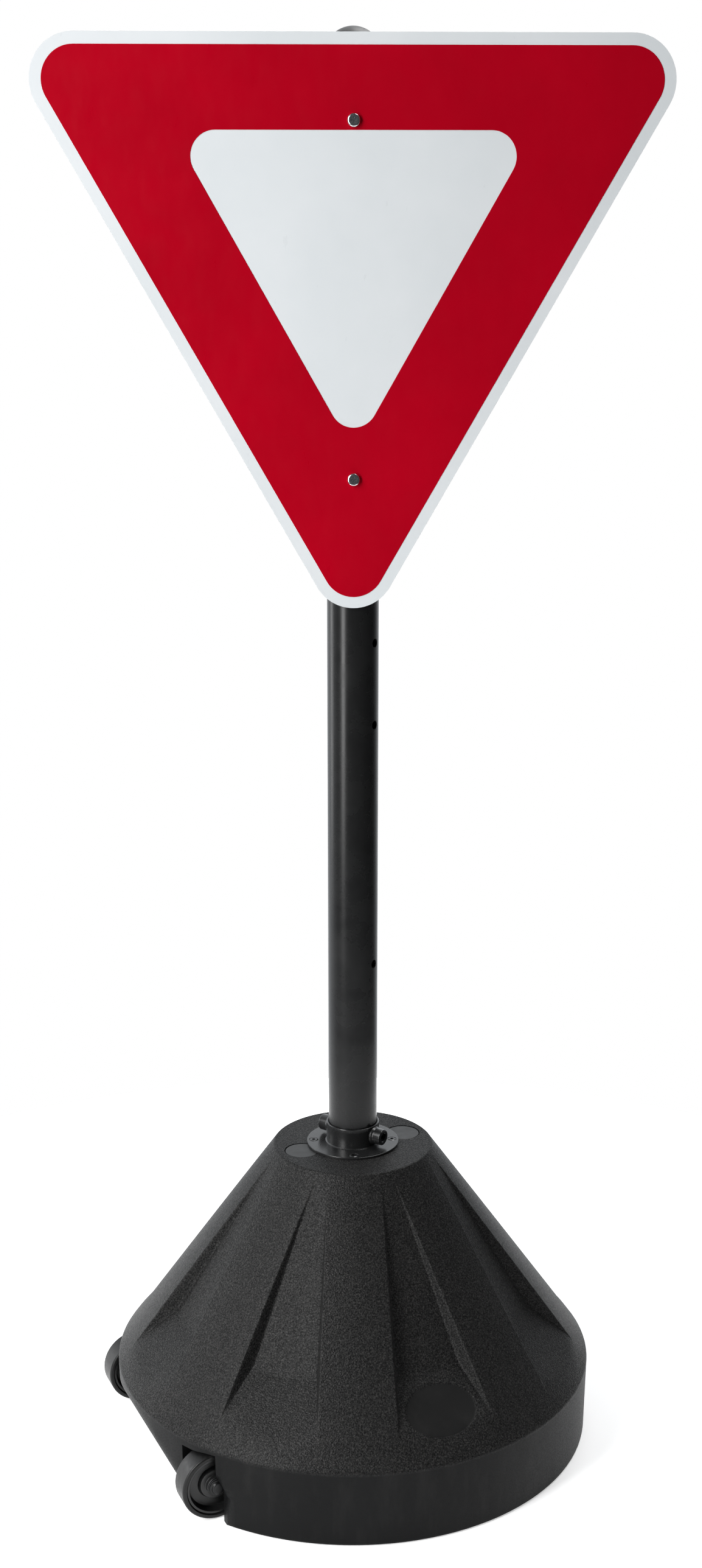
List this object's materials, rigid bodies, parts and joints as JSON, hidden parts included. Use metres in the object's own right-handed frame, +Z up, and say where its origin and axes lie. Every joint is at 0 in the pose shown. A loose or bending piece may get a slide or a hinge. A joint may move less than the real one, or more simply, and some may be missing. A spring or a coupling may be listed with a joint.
{
  "type": "signpost with sign",
  "caption": "Portable give-way sign on a round post that lifts out of a fillable moulded base, which tips and rolls on two wheels.",
  "frame": {"origin": "on the post's axis at floor level, at the middle of the base's underside", "axes": "+Z up along the post, -Y the way the sign faces, +X to the reader's right"},
  "size_m": [0.6916, 0.604, 1.6768],
  "materials": {
    "moulded_black": "pebbled satin",
    "ballast": "matt",
    "black_steel": "satin",
    "post_coating": "satin",
    "grey_plastic": "satin",
    "wheel_rubber": "satin",
    "wheel_plastic": "satin",
    "black_fastener": "satin",
    "insert_metal": "turned",
    "sign_aluminium": "mill",
    "white_sheet": "reflective film",
    "red_sheet": "reflective film",
    "zinc": "zinc plated"
  },
  "bodies": {
    "base": {"axle_pin_front": "zinc", "axle_pin_rear": "zinc", "axle_spacer_front": "wheel_plastic", "axle_spacer_rear": "wheel_plastic", "axle_washer_front": "zinc", "axle_washer_rear": "zinc", "ballast_fill": "ballast", "base_shell": "moulded_black", "fill_plug": "moulded_black", "flange_insert_1": "insert_metal", "flange_insert_2": "insert_metal", "flange_insert_3": "insert_metal", "flange_insert_4": "insert_metal", "flange_screw_1": "black_fastener", "flange_screw_2": "black_fastener", "flange_screw_3": "black_fastener", "flange_screw_4": "black_fastener", "push_nut_front": "zinc", "push_nut_rear": "zinc", "screw_boss_front": "black_steel", "screw_boss_rear": "black_steel", "socket_flange": "black_steel", "socket_tube": "black_steel", "vent_plug": "moulded_black"},
    "mast": {"post_cap": "grey_plastic", "post_foot": "grey_plastic", "post_tube": "post_coating", "red_band": "red_sheet", "sign_bolt_lower": "zinc", "sign_bolt_upper": "zinc", "sign_nut_lower": "zinc", "sign_nut_upper": "zinc", "sign_plate": "sign_aluminium", "sign_washer_lower": "zinc", "sign_washer_upper": "zinc", "white_sheeting": "white_sheet"},
    "set_screw_front": {"set_screw_front": "black_fastener"},
    "set_screw_rear": {"set_screw_rear": "black_fastener"},
    "front_wheel": {"wheel_core_front": "wheel_plastic", "wheel_tyre_front": "wheel_rubber"},
    "rear_wheel": {"wheel_core_rear": "wheel_plastic", "wheel_tyre_rear": "wheel_rubber"}
  },
  "joints": [
    {"name": "mast_lift", "type": "slide", "parent": "base", "child": "mast", "axis": [0, 0, 1], "range_m": [0, 0.38]},
    {"name": "front_wheel_spin", "type": "hinge", "parent": "base", "child": "front_wheel", "pos_m": [-0.17178, -0.2281, 0.0433], "axis": [0.3827, -0.9239, 0], "continuous": true},
    {"name": "rear_wheel_spin", "type": "hinge", "parent": "base", "child": "rear_wheel", "pos_m": [-0.28276, 0.03982, 0.0433], "axis": [0.3827, -0.9239, 0], "continuous": true},
    {"name": "set_screw_front_travel", "type": "slide", "parent": "base", "child": "set_screw_front", "axis": [0.8192, -0.5736, 0], "range_m": [0, 0.008]},
    {"name": "set_screw_rear_travel", "type": "slide", "parent": "base", "child": "set_screw_rear", "axis": [-0.8192, 0.5736, 0], "range_m": [0, 0.008]}
  ]
}
